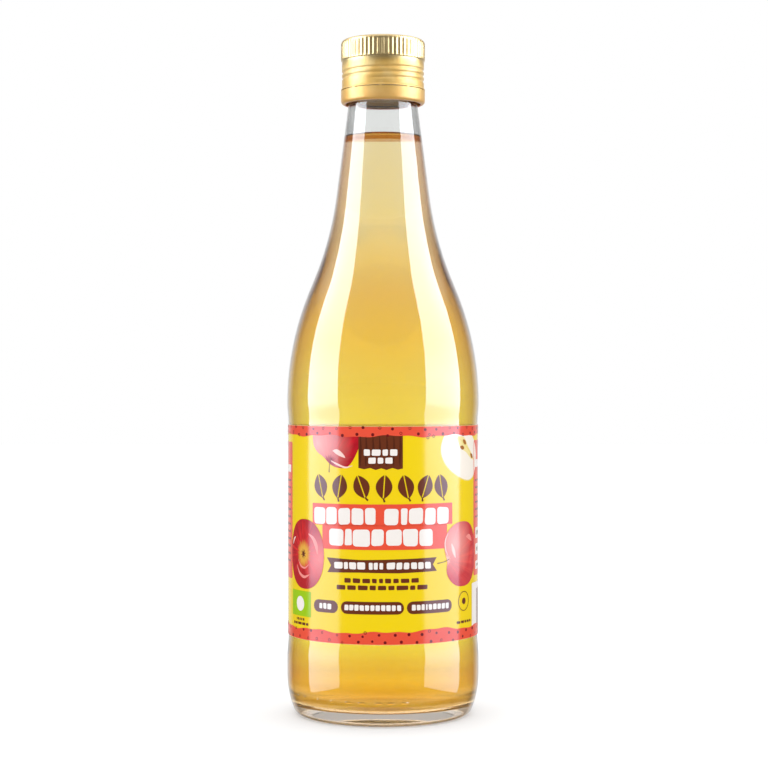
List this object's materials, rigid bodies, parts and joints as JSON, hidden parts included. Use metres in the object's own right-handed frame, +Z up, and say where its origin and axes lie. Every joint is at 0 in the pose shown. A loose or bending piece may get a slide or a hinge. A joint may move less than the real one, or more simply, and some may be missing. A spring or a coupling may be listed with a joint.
{
  "type": "vinegar bottle",
  "caption": "Clear glass bottle of golden cloudy vinegar with sloping shoulders, a rolled-on gold aluminium screw cap and a bright wrap-round paper label of plain shapes and apples.",
  "frame": {"origin": "centre of the foot, on the surface the bottle stands on", "axes": "+Z up along the bottle's axis, the front of the label faces -Y, +X to the right seen from the front"},
  "size_m": [0.0718, 0.0718, 0.252],
  "materials": {
    "clear_glass": "clear flint glass, smooth",
    "cloudy_vinegar": "cloudy golden liquid",
    "label_paper": "coated paper, slightly glossy, yellow with coral bands",
    "gold_aluminium": "pale gold lacquered aluminium"
  },
  "bodies": {
    "root": {"bottle_glass": "clear_glass", "vinegar": "cloudy_vinegar", "label": "label_paper", "screw_cap": "gold_aluminium"}
  },
  "joints": []
}
